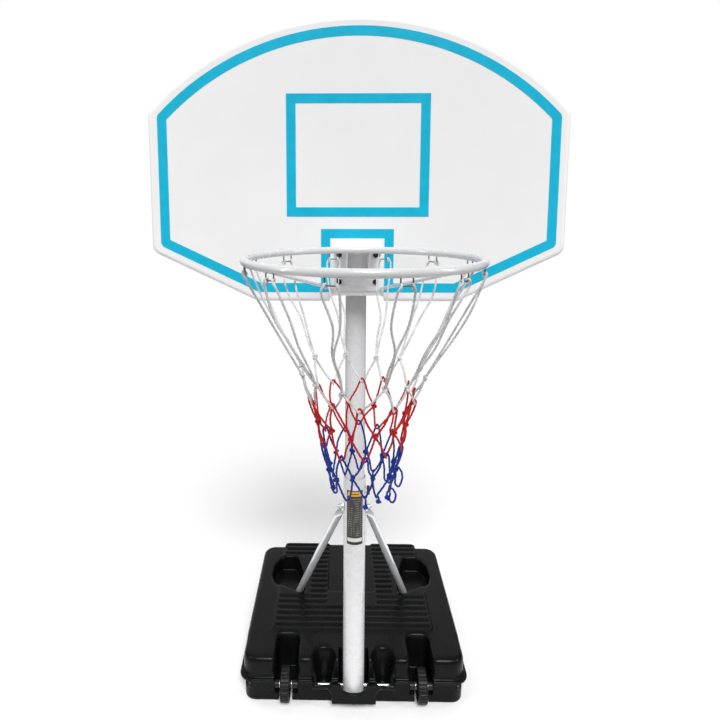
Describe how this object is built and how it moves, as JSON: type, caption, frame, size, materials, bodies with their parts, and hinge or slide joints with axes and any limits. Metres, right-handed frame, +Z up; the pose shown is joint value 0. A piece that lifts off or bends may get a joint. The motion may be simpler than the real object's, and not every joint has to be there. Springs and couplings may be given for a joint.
{
  "type": "portable basketball hoop",
  "caption": "Portable basketball hoop: ballast tank base on wheels, strutted telescopic pole, printed board and ring with a three-colour net.",
  "frame": {"origin": "on the floor under the pole's axis, which is also above the wheel axle's line", "axes": "+Z up, -Y the way the board and ring face, +X to the right of a player facing the board"},
  "size_m": [1.07, 1.257, 1.9604],
  "materials": {
    "black_tank": "fine pebbled, blow moulded",
    "ballast_fill": "water and sand filling",
    "black_cap": "moulded, satin",
    "rubber_seal": "soft, matt",
    "zinc_steel": "bright zinc plate",
    "wheel_plastic": "moulded, grooved tread",
    "white_paint": "white powder coat",
    "sticker_film": "printed film",
    "board_plastic": "white, lightly grained",
    "cyan_print": "screen printed",
    "cord_white": "twisted cord",
    "cord_red": "twisted cord",
    "cord_blue": "twisted cord"
  },
  "bodies": {
    "base": {"base_tank": "black_tank", "ballast": "ballast_fill", "filler_cap_seal": "rubber_seal", "axle_rod": "zinc_steel", "axle_end_caps": "black_cap", "wheel_washers": "zinc_steel", "wheel_spacers": "black_cap", "lower_pole": "white_paint", "pole_foot_plug": "black_cap", "guide_bush": "black_cap", "strut_left": "zinc_steel", "strut_right": "zinc_steel", "strut_studs": "zinc_steel", "strut_nuts": "zinc_steel", "strut_washers": "zinc_steel", "strut_foot_bolts": "zinc_steel", "pole_sticker": "sticker_film", "clamp_nut": "white_paint"},
    "head": {"upper_pole": "white_paint", "pole_top_cap": "black_cap", "backboard": "board_plastic", "border_stripe": "cyan_print", "target_stripe": "cyan_print", "lower_mark_stripe": "cyan_print", "board_bracket_lower": "white_paint", "board_bracket_upper": "white_paint", "bracket_bolts": "zinc_steel", "bracket_nuts": "zinc_steel", "board_screws": "zinc_steel", "ring_plate": "white_paint", "ring": "white_paint", "ring_braces": "white_paint", "ring_bolts": "zinc_steel", "ring_nuts": "zinc_steel", "ring_washers": "zinc_steel", "net_hooks": "zinc_steel", "net_white": "cord_white", "net_red": "cord_red", "net_blue": "cord_blue"},
    "wheel_left": {"wheel_left": "wheel_plastic"},
    "wheel_right": {"wheel_right": "wheel_plastic"},
    "knob": {"clamp_knob": "black_cap", "clamp_screw": "zinc_steel"},
    "cap": {"filler_cap": "black_cap"}
  },
  "joints": [
    {"name": "height_slide", "type": "slide", "parent": "base", "child": "head", "axis": [0, 0, 1], "range_m": [-0.2, 0]},
    {"name": "wheel_left_spin", "type": "hinge", "parent": "base", "child": "wheel_left", "pos_m": [-0.206, 0, 0.048], "axis": [1, 0, 0], "continuous": true},
    {"name": "wheel_right_spin", "type": "hinge", "parent": "base", "child": "wheel_right", "pos_m": [0.206, 0, 0.048], "axis": [1, 0, 0], "continuous": true},
    {"name": "clamp_knob_turn", "type": "hinge", "parent": "base", "child": "knob", "pos_m": [0.0365, 0, 0.673], "axis": [1, 0, 0], "continuous": true},
    {"name": "filler_cap_turn", "type": "hinge", "parent": "base", "child": "cap", "pos_m": [0.11, 0.56, 0.102], "axis": [0, 1, 0], "continuous": true}
  ]
}
